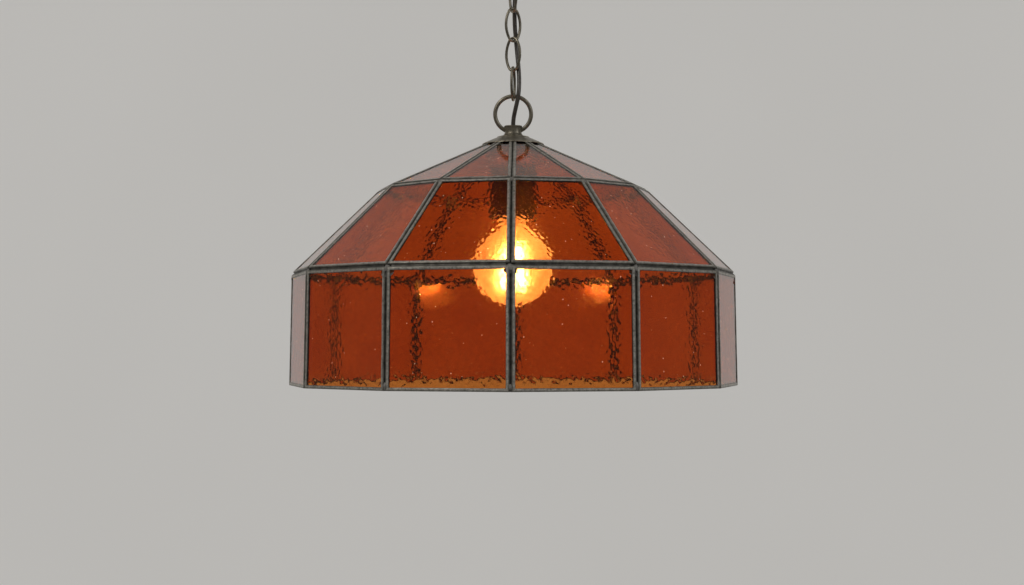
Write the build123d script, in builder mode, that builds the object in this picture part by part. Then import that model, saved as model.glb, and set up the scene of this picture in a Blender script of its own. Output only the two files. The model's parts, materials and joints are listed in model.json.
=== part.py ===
"""Leaded-glass pendant ceiling light: twelve-sided amber shade on a chain, with its globe bulb.

Frame: the origin is on the lamp's axis at the ceiling, +Z is up and everything hangs below it.
A corner of the shade points along -Y. Sizes are millimetres.
"""

from build123d import *
from math import atan, cos, degrees, pi, radians, sin, sqrt, tan
import os

# ---------------------------------------------------------------- driving dimensions
SIDES = 12  # facets round the shade
HALF_FACET = 180 / SIDES  # degrees from a facet's middle to its corner

# shade: corner radius and height above the rim of each ring of corners
RIM_R, WAIST_R, BROW_R = 229.0, 226.9, 137.0
WAIST_H, BROW_H = 114.3, 199.7
CROWN_SLOPE = 23.5  # degrees, along a corner of the crown
CROWN_HOLE_R = 24.0  # corner radius where the crown stops under the cap

# came: U-channel that binds each pane
CAME_T = 4.4  # through the pane
CAME_W = 3.3  # seen width
CAME_GAP = 0.05  # half the gap between the inner edges of neighbouring cames
CAME_WEB = 0.9  # metal outside the edge of the glass
GLASS_T = 3.0
GLASS_CLEAR = 0.1
SEAM_STOP = 5.0  # how far short of each corner a run of solder ends
SEAM_CLEAR = 0.03
SEAM_FILL = 0.45  # depth of the solder, as a part of the came's depth

# fittings on the lamp: heights above the rim
CAP_R, CAP_T, CAP_LIP = 31.4, 1.0, 0.3
CAP_STEP_R, CAP_STEP, CAP_FLAT_R = 16.5, 0.8, 11.5
INNER_CAP_R, INNER_FLAT_R = 34.0, 12.0
NECK_R, NECK_BOTTOM, NECK_TOP = 9.2, 254.8, 265.2
NECK_WAIST = 0.6  # how much slimmer the neck is at its middle
NECK_FOOT, NECK_FOOT_T, NECK_FOOT_TOP = 0.8, 1.2, 2.0  # flange where the neck stands on the cap
NECK_THREAD = 6.5  # depth of the nipple's thread up the neck
NECK_ROUND = 0.8
RING_H, RING_R, RING_WIRE = 277.3, 18.4, 4.2  # centre height, centre-line radius, wire diameter

# socket: heights above the rim
CUP_R, CUP_WALL, CUP_BOTTOM, CUP_TOP, CUP_ROUND = 23.5, 1.0, 168.7, 222.0, 3.0
BODY_R, BODY_BOTTOM, BODY_TOP, BODY_ROUND, BODY_EDGE = 20.0, 171.0, 220.9, 4.0, 1.0
SHELL_R, SHELL_WALL, SHELL_BOTTOM, SHELL_TOP, SHELL_WAVE = 13.4, 0.5, 175.0, 198.0, 0.5
THREAD_PITCH = 3.6  # E26 thread, 7 to the inch
MOUTH_R, WELL_R = 16.0, 9.0
CONTACT_R, CONTACT_T = 5.5, 0.8
SCREW_R, SCREW_REACH, SCREW_LIFT = 1.5, 5.0, 6.0  # terminal screws, above the contact's well
SCREW_HEAD_R, SCREW_HEAD_T, SCREW_SLOT, SCREW_SLOT_T = 3.2, 1.6, 0.8, 0.7
SCREW_POCKET = 2.0  # how far each screw's head is sunk into the body

# bulb: heights above the rim
GLOBE_R, GLOBE_H, GLOBE_WALL = 40.0, 120.8, 0.8
GLOBE_TURN = 52  # degrees above its middle where the globe runs into its shoulder
BULB_NECK_R, BULB_SHOULDER, BULB_SEAT = 12.0, 48.0, 3.6
BASE_R, BASE_BOTTOM, BASE_TOP, BASE_WALL, BASE_WAVE = 13.0, 174.0, 196.5, 0.35, 0.4
BASE_CROWN_R, INSULATOR_T, STUD_R, STUD_TOP, STUD_ROUND = 9.0, 2.4, 4.6, 200.8, 0.8
STEM_TIP, STEM_WAIST = 23.0, 44.0  # above the globe's middle
STEM_TIP_R, STEM_WAIST_R, STEM_FLARE_R, STEM_FOOT_R = 2.0, 2.6, 8.0, 11.0
FILAMENT_R = 1.0
ROD_LOW, ROD_HIGH = (12.0, -22.0), (7.0, 20.0)  # radius and height from the globe's middle
RODS = 4

# pipe nipples, 1/8 IP size
PIPE_R, PIPE_BORE, PIPE_EDGE = 4.8, 3.1, 0.4
PIPE_FIT = PIPE_R + 0.1
NUT_R, NUT_T = 8.0, 3.5
NIPPLE_BOTTOM = 213.0  # of the lamp's nipple, above the rim
TOUCH = 0.05  # gap between two faces that rest on each other

# chain: round wire ovals, given by centre lines
LINK_WIRE, LINK_PITCH, LINK_WIDTH, LINK_END_R = 2.8, 33.4, 20.5, 6.0
LINK_TURNS = (28, -68, 36, -38, 80)  # degrees of each link's plane from the XZ plane
HANG_GAP = 0.3  # between one wire and the wire that hangs on it

# ceiling end: heights below the ceiling
EYE_TURN, EYE_DROP, EYE_R = -60, 48.0, 10.9
COLLAR_R, COLLAR_TOP, COLLAR_BOTTOM = 12.9, 12.0, 40.0
COLLAR_THREAD = 16.0  # depth of the nipple's thread down the collar
COLLAR_EDGE, COLLAR_CONE, COLLAR_NARROW = 0.8, 6.0, 3.0
NIPPLE_TOP = 0.6
CANOPY_R, CANOPY_DEPTH, CANOPY_T, CANOPY_HOLE_R = 63.5, 26.0, 1.2, 13.7
CANOPY_LIP, CANOPY_RIM = 4.0, 2.5  # height of the straight lip, width of the flat that meets the ceiling
CANOPY_DISH = ((50.0, 15.0), (30.0, 20.5), (24.0, 22.2), (20.0, 26.0))  # radius and depth, outside
BAR_LENGTH, BAR_WIDTH, BAR_T = 104.0, 18.0, 2.5
BOX_SCREW_SPACING, BOX_HOLE_R = 88.9, 2.3
GROUND_X, GROUND_HOLE_R, GROUND_R, GROUND_HEAD_R, GROUND_HEAD_T = 22.0, 2.0, 1.9, 4.2, 3.15
GROUND_SLOT, GROUND_SLOT_T = 0.9, 1.2
NUT_RING_R, NUT_RING_T, GRIPS, GRIP_R = 18.5, 5.0, 24, 1.0  # the collar that holds the canopy up

# supply cord, from the ceiling eye's collar to the neck, as the chain carries it
CORD_R = 2.2
CORD_ROUTE = (
    (0.0, 0.0, -36.0),
    (0.0, 0.0, -45.0),
    (2.6, 7.0, -56.5),
    (4.2, 10.2, -71.0),
    (2.4, 9.2, -91.0),
    (1.3, 8.2, -112.0),
    (1.5, 8.1, -131.0),
    (3.0, 7.0, -149.0),
    (4.6, 4.3, -166.0),
    (6.0, 0.3, -181.5),
    (6.3, -4.2, -195.0),
    (5.3, -6.0, -207.5),
    (2.2, -4.0, -220.5),
    (0.0, 0.0, -230.5),
    (0.0, 0.0, -239.0),
)

# ---------------------------------------------------------------- heights worked out from these
eye_z = -EYE_DROP
pivot_z = [eye_z - EYE_R]  # centre of the lowest wire of each part of the chain
link_top_z = []
hang = (RING_WIRE + LINK_WIRE) / 2 + HANG_GAP
for _ in LINK_TURNS:
    link_top_z.append(pivot_z[-1] + hang)
    pivot_z.append(link_top_z[-1] - LINK_PITCH)
    hang = LINK_WIRE + HANG_GAP
ring_z = pivot_z[-1] + (RING_WIRE + LINK_WIRE) / 2 + HANG_GAP - RING_R
rim_z = ring_z - RING_H

waist_z = rim_z + WAIST_H
brow_z = rim_z + BROW_H
hole_z = brow_z + (BROW_R - CROWN_HOLE_R) * tan(radians(CROWN_SLOPE))
crown_flat_slope = tan(radians(CROWN_SLOPE)) / cos(radians(HALF_FACET))


def save(builder, name):
    """Label a finished piece and write its STEP file."""
    builder.part.label = name
    export_step(builder.part, f"parts/{name}.step")


os.makedirs("parts", exist_ok=True)

# ---------------------------------------------------------------- shade
TIERS = {
    "skirt": ((RIM_R, rim_z), (WAIST_R, waist_z)),
    "shoulder": ((WAIST_R, waist_z), (BROW_R, brow_z)),
    "crown": ((BROW_R, brow_z), (CROWN_HOLE_R, hole_z)),
}


def facet_plane(tier, index):
    """Plane on a facet's outer face: origin mid-way along its lower edge, local Y up the facet."""
    (low_r, low_z), (high_r, high_z) = TIERS[tier]
    flat = cos(radians(HALF_FACET))
    angle = radians(-90 + HALF_FACET + index * 360 / SIDES)
    outward = Vector(cos(angle), sin(angle), 0)
    along = Vector(-sin(angle), cos(angle), 0)
    rise = outward * ((high_r - low_r) * flat) + Vector(0, 0, high_z - low_z)
    origin = outward * (low_r * flat) + Vector(0, 0, low_z)
    return Plane(origin=origin, x_dir=along, z_dir=along.cross(rise))


def facet_normal(tier, index):
    return facet_plane(tier, index).z_dir


def bend_inset(normal_a, normal_b):
    """How far a came's side stands in from the corner line, so that the inner edges just clear."""
    half_bend = radians(normal_a.get_angle(normal_b)) / 2
    return CAME_T * tan(half_bend) + CAME_GAP


SIDE_INSET = {t: bend_inset(facet_normal(t, 0), facet_normal(t, 1)) for t in TIERS}
waist_inset = bend_inset(facet_normal("skirt", 0), facet_normal("shoulder", 0))
brow_inset = bend_inset(facet_normal("shoulder", 0), facet_normal("crown", 0))
END_INSET = {
    "skirt": (0.0, waist_inset),
    "shoulder": (waist_inset, brow_inset),
    "crown": (brow_inset, 0.0),
}


def facet_outline(tier, extra):
    """Corners of a facet's trapezoid, pulled in by its insets and by extra on every side."""
    (low_r, low_z), (high_r, high_z) = TIERS[tier]
    flat = cos(radians(HALF_FACET))
    height = sqrt(((high_r - low_r) * flat) ** 2 + (high_z - low_z) ** 2)
    half = sin(radians(HALF_FACET))
    lean = (low_r - high_r) * half / height
    side = (SIDE_INSET[tier] + extra) * sqrt(1 + lean**2)
    bottom = END_INSET[tier][0] + extra
    top = height - END_INSET[tier][1] - extra
    low_half = low_r * half - lean * bottom - side
    high_half = low_r * half - lean * top - side
    return [(-low_half, bottom), (low_half, bottom), (high_half, top), (-high_half, top)]


def came_tier(tier):
    """Twelve U-channel frames, each with a groove for its pane."""
    groove = GLASS_T + 2 * GLASS_CLEAR
    groove_depth = (CAME_T - groove) / 2
    with BuildPart() as cames:
        for index in range(SIDES):
            face = facet_plane(tier, index)
            with BuildSketch(face):
                Polygon(*facet_outline(tier, 0), align=None)
                Polygon(*facet_outline(tier, CAME_W), align=None, mode=Mode.SUBTRACT)
            extrude(amount=-CAME_T)
            with BuildSketch(face.offset(-groove_depth)):
                Polygon(*facet_outline(tier, CAME_WEB), align=None)
            extrude(amount=-groove, mode=Mode.SUBTRACT)
    return cames


def pane(tier, index):
    """One pane of glass, seated in its came's groove."""
    with BuildPart() as glass:
        with BuildSketch(facet_plane(tier, index).offset(-(CAME_T - GLASS_T) / 2)):
            Polygon(*facet_outline(tier, CAME_WEB + GLASS_CLEAR), align=None)
        extrude(amount=-GLASS_T)
    return glass


for tier in TIERS:
    save(came_tier(tier), f"{tier}_came")

for tier in ("skirt", "shoulder"):
    for index in range(SIDES):
        save(pane(tier, index), f"{tier}_glass_{index + 1:02d}")

with BuildPart() as crown_glass:
    for index in range(SIDES):
        with BuildSketch(facet_plane("crown", index).offset(-(CAME_T - GLASS_T) / 2)):
            Polygon(*facet_outline("crown", CAME_WEB + GLASS_CLEAR), align=None)
        extrude(amount=-GLASS_T)
save(crown_glass, "crown_glass")


def corner(ring, index):
    """A corner point of the shade's outer surface."""
    radius, height = ring
    angle = radians(-90 + index * 360 / SIDES)
    return Vector(radius * cos(angle), radius * sin(angle), height)


def seam(start, end, normal_a, normal_b):
    """Plane, section and length of the solder in the bottom of the V between two cames."""
    half_bend = radians(normal_a.get_angle(normal_b)) / 2
    outward = (normal_a + normal_b).normalized()
    line = (end - start).normalized()
    depth = CAME_T / cos(half_bend)
    apex = CAME_GAP / cos(half_bend)
    fill = SEAM_FILL * depth
    narrow = apex - SEAM_CLEAR
    wide = narrow + fill * tan(half_bend)
    face = Plane(origin=start + line * SEAM_STOP - outward * depth, x_dir=outward, z_dir=line)
    section = [(0, -narrow), (fill, -wide), (fill, wide), (0, narrow)]
    return face, section, (end - start).length - 2 * SEAM_STOP


seams = []
for index in range(SIDES):
    for tier, (low, high) in TIERS.items():
        sides = facet_normal(tier, index - 1), facet_normal(tier, index)
        seams.append(seam(corner(low, index), corner(high, index), *sides))
    for lower, upper in (("skirt", "shoulder"), ("shoulder", "crown")):
        ring = TIERS[upper][0]
        sides = facet_normal(lower, index), facet_normal(upper, index)
        seams.append(seam(corner(ring, index), corner(ring, index + 1), *sides))

with BuildPart() as solder_seams:
    for face, section, length in seams:
        with BuildSketch(face):
            Polygon(*section, align=None)
        extrude(amount=length)
save(solder_seams, "solder_seams")

# ---------------------------------------------------------------- cap, neck and lamp ring


def cap_height(radius):
    """Underside of the cap: the cone that rests on the crown's corners."""
    return brow_z + (BROW_R - radius) * tan(radians(CROWN_SLOPE)) + TOUCH


def inner_height(radius):
    """Top of the inner cap: the cone that touches the middle of the crown's inner faces."""
    flat_r = BROW_R * cos(radians(HALF_FACET))
    drop = CAME_T / cos(atan(crown_flat_slope))
    return brow_z + (flat_r - radius) * crown_flat_slope - drop - TOUCH


neck_bottom_z = rim_z + NECK_BOTTOM
neck_top_z = rim_z + NECK_TOP
cap_top_z = neck_bottom_z - TOUCH
cap_step_r = CAP_STEP_R + CAP_STEP

with BuildPart() as vase_cap:
    with BuildSketch(Plane.XZ):
        with BuildLine():
            Polyline(
                (PIPE_FIT, cap_top_z),
                (CAP_FLAT_R, cap_top_z),
                (CAP_STEP_R, cap_height(CAP_STEP_R) + 2 * CAP_T),
                (cap_step_r, cap_height(cap_step_r) + CAP_T),
                (CAP_R, cap_height(CAP_R) + CAP_T),
                (CAP_R + CAP_LIP, cap_height(CAP_R + CAP_LIP)),
                (CAP_FLAT_R, cap_height(CAP_FLAT_R)),
                (PIPE_FIT, cap_height(CAP_FLAT_R)),
                close=True,
            )
        make_face()
    revolve(axis=Axis.Z)
save(vase_cap, "vase_cap")

inner_flat_z = inner_height(INNER_FLAT_R)
with BuildPart() as inner_cap:
    with BuildSketch(Plane.XZ):
        with BuildLine():
            Polyline(
                (PIPE_FIT, inner_flat_z),
                (INNER_FLAT_R, inner_flat_z),
                (INNER_CAP_R, inner_height(INNER_CAP_R)),
                (INNER_CAP_R, inner_height(INNER_CAP_R) - CAP_T),
                (INNER_FLAT_R, inner_flat_z - CAP_T),
                (PIPE_FIT, inner_flat_z - CAP_T),
                close=True,
            )
        make_face()
    revolve(axis=Axis.Z)
save(inner_cap, "inner_cap")

neck_waist_r = NECK_R - NECK_WAIST
neck_foot_r = NECK_R + NECK_FOOT
neck_middle_z = (neck_bottom_z + neck_top_z) / 2
ring_end_x = NECK_R - RING_WIRE / 2 - 0.4  # the ring's two ends run into the sides of the neck
ring_end_drop = sqrt(RING_R**2 - ring_end_x**2)
ring_end_z = ring_z - ring_end_drop
ring_end = Plane(origin=(ring_end_x, 0, ring_end_z), z_dir=(ring_end_drop, 0, ring_end_x))

with BuildPart() as lamp_loop:
    with BuildSketch(Plane.XZ):
        with BuildLine() as neck_side:
            Polyline(
                (NECK_R, neck_top_z),
                (0, neck_top_z),
                (0, neck_bottom_z),
                (neck_foot_r, neck_bottom_z),
                (neck_foot_r, neck_bottom_z + NECK_FOOT_T),
                (neck_waist_r, neck_bottom_z + NECK_FOOT_TOP),
            )
            ThreePointArc(
                neck_side.line @ 1, (neck_waist_r - 0.2, neck_middle_z), (NECK_R, neck_top_z)
            )
        make_face()
    revolve(axis=Axis.Z)
    fillet(lamp_loop.edges().group_by(Axis.Z)[-1], radius=NECK_ROUND)
    with BuildLine():
        ThreePointArc((-ring_end_x, 0, ring_end_z), (0, 0, ring_z + RING_R), (ring_end_x, 0, ring_end_z))
    with BuildSketch(ring_end):
        Circle(RING_WIRE / 2)
    sweep()
    for height, radius in ((NECK_THREAD, PIPE_R), (NECK_TOP - NECK_BOTTOM + RING_R, PIPE_BORE)):
        with BuildSketch(Plane.XY.offset(neck_bottom_z)):
            Circle(radius)
        extrude(amount=height, mode=Mode.SUBTRACT)
save(lamp_loop, "lamp_loop")


def pipe(bottom, top):
    """A threaded pipe nipple."""
    with BuildPart() as nipple:
        with BuildSketch(Plane.XY.offset(bottom)):
            Circle(PIPE_R)
            Circle(PIPE_BORE, mode=Mode.SUBTRACT)
        extrude(amount=top - bottom)
        rims = nipple.edges().filter_by(GeomType.CIRCLE).sort_by(SortBy.RADIUS)[-2:]
        chamfer(rims, length=PIPE_EDGE)
    return nipple


nipple_bottom_z = rim_z + NIPPLE_BOTTOM
save(pipe(nipple_bottom_z, neck_bottom_z + NECK_THREAD - 0.1), "lamp_nipple")

cup_top_z = rim_z + CUP_TOP
with BuildPart() as lock_nuts:
    for top in (inner_flat_z - CAP_T - TOUCH, cup_top_z + NUT_T + TOUCH):
        with BuildSketch(Plane.XY.offset(top - NUT_T)):
            RegularPolygon(NUT_R, 6)
            Circle(PIPE_FIT, mode=Mode.SUBTRACT)
        extrude(amount=NUT_T)
save(lock_nuts, "lock_nuts")

# ---------------------------------------------------------------- socket
with BuildPart() as socket_cup:
    with BuildSketch(Plane.XY.offset(rim_z + CUP_BOTTOM)):
        Circle(CUP_R)
    extrude(amount=CUP_TOP - CUP_BOTTOM)
    fillet(socket_cup.edges().group_by(Axis.Z)[-1], radius=CUP_ROUND)
    offset(amount=-CUP_WALL, openings=socket_cup.faces().sort_by(Axis.Z)[0])
    with BuildSketch(Plane.XY.offset(cup_top_z)):
        Circle(PIPE_FIT)
    extrude(amount=2 * CUP_WALL, both=True, mode=Mode.SUBTRACT)
save(socket_cup, "socket_cup")

body_bottom_z = rim_z + BODY_BOTTOM
body_top_z = rim_z + BODY_TOP
shell_bottom_z = rim_z + SHELL_BOTTOM
shell_top_z = rim_z + SHELL_TOP
contact_z = rim_z + STUD_TOP + TOUCH
well_top_z = contact_z + CONTACT_T + TOUCH
screw_z = well_top_z + SCREW_LIFT
cord_end_z = well_top_z + SCREW_LIFT

with BuildPart() as socket_body:
    with BuildSketch(Plane.XY.offset(body_bottom_z)):
        Circle(BODY_R)
    extrude(amount=body_top_z - body_bottom_z)
    fillet(socket_body.edges().group_by(Axis.Z)[-1], radius=BODY_ROUND)
    fillet(socket_body.edges().group_by(Axis.Z)[0], radius=BODY_EDGE)
    # from below: mouth, shell seat, well for the centre contact, the cord's way in, the nipple's seat
    for bottom, top, radius in (
        (body_bottom_z, shell_bottom_z, MOUTH_R),
        (shell_bottom_z - 0.1, shell_top_z + 0.1, SHELL_R + SHELL_WALL + 0.1),
        (shell_top_z, well_top_z, WELL_R),
        (cord_end_z - 2.0, nipple_bottom_z, PIPE_BORE),
        (nipple_bottom_z - 0.1, body_top_z, PIPE_FIT),
    ):
        with BuildSketch(Plane.XY.offset(bottom)):
            Circle(radius)
        extrude(amount=top - bottom, mode=Mode.SUBTRACT)
    # holes for the two terminal screws
    for side in (1, -1):
        face = Plane(origin=(side * BODY_R, 0, screw_z), z_dir=(-side, 0, 0))
        for depth, radius in ((SCREW_REACH + 0.1, SCREW_R + 0.1), (SCREW_POCKET, SCREW_HEAD_R + 0.2)):
            with BuildSketch(face):
                Circle(radius)
            extrude(amount=depth, mode=Mode.SUBTRACT)
save(socket_body, "socket_body")

with BuildPart() as terminal_screws:
    for side in (1, -1):
        tip = Plane(origin=(side * (BODY_R - SCREW_REACH), 0, screw_z), z_dir=(side, 0, 0))
        seat = tip.offset(SCREW_REACH - SCREW_POCKET + 0.1)
        with BuildSketch(tip):
            Circle(SCREW_R)
        extrude(amount=SCREW_REACH - SCREW_POCKET + 0.2)
        with BuildSketch(seat):
            Circle(SCREW_HEAD_R)
        extrude(amount=SCREW_HEAD_T)
        with BuildSketch(seat.offset(SCREW_HEAD_T)):
            Rectangle(3 * SCREW_HEAD_R, SCREW_SLOT)
        extrude(amount=-SCREW_SLOT_T, mode=Mode.SUBTRACT)
save(terminal_screws, "terminal_screws")


def threaded_tube(radius, wall, bottom, top, swell):
    """Profile points of a rolled-thread shell: rounded waves up the outside and the inside."""
    waves = int((top - bottom) / THREAD_PITCH)
    outer = []
    inner = []
    for step in range(waves * 2 + 1):
        height = bottom + (top - bottom) * step / (waves * 2)
        bulge = swell if step % 2 else 0.0
        outer.append((radius + bulge, height))
        inner.append((radius + bulge - wall, height))
    return outer, inner


with BuildPart() as screw_shell:
    outer, inner = threaded_tube(SHELL_R, SHELL_WALL, shell_bottom_z, shell_top_z, SHELL_WAVE)
    with BuildSketch(Plane.XZ):
        with BuildLine():
            Spline(*outer)
            Line(outer[-1], inner[-1])
            Spline(*inner)
            Line(inner[0], outer[0])
        make_face()
    revolve(axis=Axis.Z)
save(screw_shell, "screw_shell")

with BuildPart() as center_contact:
    with BuildSketch(Plane.XY.offset(contact_z)):
        Circle(CONTACT_R)
    extrude(amount=CONTACT_T)
save(center_contact, "center_contact")

# ---------------------------------------------------------------- bulb
globe_z = rim_z + GLOBE_H
base_bottom_z = rim_z + BASE_BOTTOM
base_top_z = rim_z + BASE_TOP
seat_z = base_bottom_z + BULB_SEAT  # where the glass neck stops inside the base
insulator_top_z = base_top_z + INSULATOR_T + 0.02

turn_s, turn_c = sin(radians(GLOBE_TURN)), cos(radians(GLOBE_TURN))
with BuildPart() as bulb_globe:
    for inset, mode in ((0.0, Mode.ADD), (GLOBE_WALL, Mode.SUBTRACT)):
        radius = GLOBE_R - inset
        low = (0, globe_z - radius)
        high = (radius * turn_c, globe_z + radius * turn_s)
        neck_low = (BULB_NECK_R + 0.9 - inset, globe_z + BULB_SHOULDER)
        neck_high = (BULB_NECK_R - inset, seat_z)
        with BuildSketch(Plane.XZ):
            with BuildLine():
                ThreePointArc(low, (radius, globe_z), high)
                Spline(high, neck_low, tangents=((-turn_s, turn_c), (-0.12, 1)))
                Polyline(neck_low, neck_high, (0, seat_z), low)
            make_face()
        revolve(axis=Axis.Z, mode=mode)
save(bulb_globe, "bulb_globe")

with BuildPart() as bulb_base:
    lip_r = BASE_R - 0.15
    outer, inner = threaded_tube(
        BASE_R - 0.6, BASE_WALL, base_bottom_z + 4, base_top_z - 3, BASE_WAVE
    )
    with BuildSketch(Plane.XZ):
        with BuildLine():
            Line((lip_r, base_bottom_z), outer[0])
            Spline(*outer)
            Line(outer[-1], (BASE_CROWN_R, base_top_z))
            Line((BASE_CROWN_R, base_top_z), (BASE_CROWN_R - BASE_WALL, base_top_z - BASE_WALL))
            Line((BASE_CROWN_R - BASE_WALL, base_top_z - BASE_WALL), inner[-1])
            Spline(*inner)
            Line(inner[0], (lip_r - BASE_WALL, base_bottom_z))
            Line((lip_r - BASE_WALL, base_bottom_z), (lip_r, base_bottom_z))
        make_face()
    revolve(axis=Axis.Z)
save(bulb_base, "bulb_base")

with BuildPart() as bulb_insulator:
    with BuildSketch(Plane.XY.offset(insulator_top_z - INSULATOR_T)):
        Circle(BASE_CROWN_R - 0.1)
    extrude(amount=INSULATOR_T, taper=35)
save(bulb_insulator, "bulb_insulator")

with BuildPart() as bulb_contact:
    with BuildSketch(Plane.XY.offset(insulator_top_z + 0.02)):
        Circle(STUD_R)
    extrude(amount=rim_z + STUD_TOP - insulator_top_z - 0.02)
    fillet(bulb_contact.edges().group_by(Axis.Z)[-1], radius=STUD_ROUND)
save(bulb_contact, "bulb_contact")

with BuildPart() as bulb_stem:
    with BuildSketch(Plane.XZ):
        with BuildLine():
            Polyline(
                (0, globe_z + STEM_TIP),
                (STEM_TIP_R, globe_z + STEM_TIP + 1.5),
                (STEM_WAIST_R, globe_z + STEM_WAIST),
                (STEM_FLARE_R, base_bottom_z + 0.5),
                (STEM_FOOT_R, seat_z - 0.1),
                (0, seat_z - 0.1),
                close=True,
            )
        make_face()
    revolve(axis=Axis.Z)
save(bulb_stem, "bulb_stem")

# straight glowing rods in a cage about the bulb's middle, held by the stem's wires
with BuildPart() as bulb_filament:
    for turn in range(RODS):
        angle = radians((turn + 0.5) * 360 / RODS)
        low, high = (
            Vector(radius * cos(angle), radius * sin(angle), globe_z + height)
            for radius, height in (ROD_LOW, ROD_HIGH)
        )
        with BuildSketch(Plane(origin=low, z_dir=high - low)):
            Circle(FILAMENT_R)
        extrude(amount=(high - low).length)
save(bulb_filament, "bulb_filament")

# ---------------------------------------------------------------- chain


def link_path(plane_turn, top_z):
    """Oval centre line of a link: two tight ends and two long bowed sides, all tangent."""
    half_long = LINK_PITCH / 2
    end_centre = half_long - LINK_END_R
    side_r = (half_wide**2 + end_centre**2 - LINK_END_R**2) / (2 * (half_wide - LINK_END_R))
    join = atan(end_centre / (side_r - half_wide))
    join_s = LINK_END_R * cos(join)
    join_z = end_centre + LINK_END_R * sin(join)
    bow_s = side_r * cos(join / 2) - side_r + half_wide
    bow_z = side_r * sin(join / 2)
    turn = radians(plane_turn)

    def place(s, z):
        return (s * cos(turn), s * sin(turn), top_z - half_long + z)

    ThreePointArc(place(half_wide, 0), place(bow_s, bow_z), place(join_s, join_z))
    ThreePointArc(place(join_s, join_z), place(0, half_long), place(-join_s, join_z))
    ThreePointArc(place(-join_s, join_z), place(-half_wide, 0), place(-join_s, -join_z))
    ThreePointArc(place(-join_s, -join_z), place(0, -half_long), place(join_s, -join_z))
    ThreePointArc(place(join_s, -join_z), place(bow_s, -bow_z), place(half_wide, 0))
    return Plane(origin=place(half_wide, 0), z_dir=(0, 0, 1))


half_wide = (LINK_WIDTH - LINK_WIRE) / 2
for number, (turn, top_z) in enumerate(zip(LINK_TURNS, link_top_z), start=1):
    with BuildPart() as chain_link:
        with BuildLine():
            start = link_path(turn, top_z)
        with BuildSketch(start):
            Circle(LINK_WIRE / 2)
        sweep()
    save(chain_link, f"chain_link_{number}")

# ---------------------------------------------------------------- ceiling end
eye_along = Vector(cos(radians(EYE_TURN)), sin(radians(EYE_TURN)), 0)
eye_end_z = -COLLAR_BOTTOM + 1.5  # the eye's two ends run into the bottom of the collar
eye_end_s = sqrt(EYE_R**2 - (eye_end_z - eye_z) ** 2)
thread_bottom_z = -COLLAR_TOP - COLLAR_THREAD

with BuildPart() as ceiling_loop:
    with BuildSketch(Plane.XY.offset(-COLLAR_BOTTOM + COLLAR_CONE)):
        Circle(COLLAR_R)
    extrude(amount=COLLAR_BOTTOM - COLLAR_CONE - COLLAR_TOP)
    chamfer(ceiling_loop.edges().group_by(Axis.Z)[-1], length=COLLAR_EDGE)
    with BuildSketch(Plane.XY.offset(-COLLAR_BOTTOM)):
        Circle(COLLAR_R - COLLAR_NARROW)
    extrude(amount=COLLAR_CONE, taper=-12)
    start = eye_along * eye_end_s + Vector(0, 0, eye_end_z)
    end = eye_along * -eye_end_s + Vector(0, 0, eye_end_z)
    with BuildLine():
        ThreePointArc(start, (0, 0, eye_z - EYE_R), end)
    tangent = eye_along * (eye_end_z - eye_z) - Vector(0, 0, eye_end_s)
    with BuildSketch(Plane(origin=start, z_dir=tangent)):
        Circle(RING_WIRE / 2)
    sweep()
    for bottom, top, radius in (
        (thread_bottom_z, -COLLAR_TOP, PIPE_R),
        (-COLLAR_BOTTOM, thread_bottom_z, PIPE_BORE),
    ):
        with BuildSketch(Plane.XY.offset(bottom)):
            Circle(radius)
        extrude(amount=top - bottom, mode=Mode.SUBTRACT)
save(ceiling_loop, "ceiling_loop")

save(pipe(thread_bottom_z + 0.1, -NIPPLE_TOP), "ceiling_nipple")

with BuildPart() as crossbar:
    with BuildSketch(Plane.XY.offset(-BAR_T)):
        SlotOverall(BAR_LENGTH, BAR_WIDTH)
        Circle(PIPE_FIT, mode=Mode.SUBTRACT)
        with Locations((BOX_SCREW_SPACING / 2, 0), (-BOX_SCREW_SPACING / 2, 0)):
            Circle(BOX_HOLE_R, mode=Mode.SUBTRACT)
        with Locations((GROUND_X, 0)):
            Circle(GROUND_HOLE_R, mode=Mode.SUBTRACT)
    extrude(amount=BAR_T)
save(crossbar, "crossbar")

with BuildPart() as nipple_nut:
    with BuildSketch(Plane.XY.offset(-BAR_T - TOUCH)):
        RegularPolygon(NUT_R, 6)
        Circle(PIPE_FIT, mode=Mode.SUBTRACT)
    extrude(amount=-NUT_T)
save(nipple_nut, "nipple_nut")

ground_head = Plane(origin=(GROUND_X, 0, -BAR_T - TOUCH))
with BuildPart() as ground_screw:
    with BuildSketch(ground_head):
        RegularPolygon(GROUND_HEAD_R, 6)
    extrude(amount=-GROUND_HEAD_T)
    with BuildSketch(ground_head):
        Circle(GROUND_R)
    extrude(amount=BAR_T - TOUCH)
    with BuildSketch(ground_head.offset(-GROUND_HEAD_T)):
        Rectangle(3 * GROUND_R, GROUND_SLOT)
    extrude(amount=GROUND_SLOT_T, mode=Mode.SUBTRACT)
save(ground_screw, "ground_screw")

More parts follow.
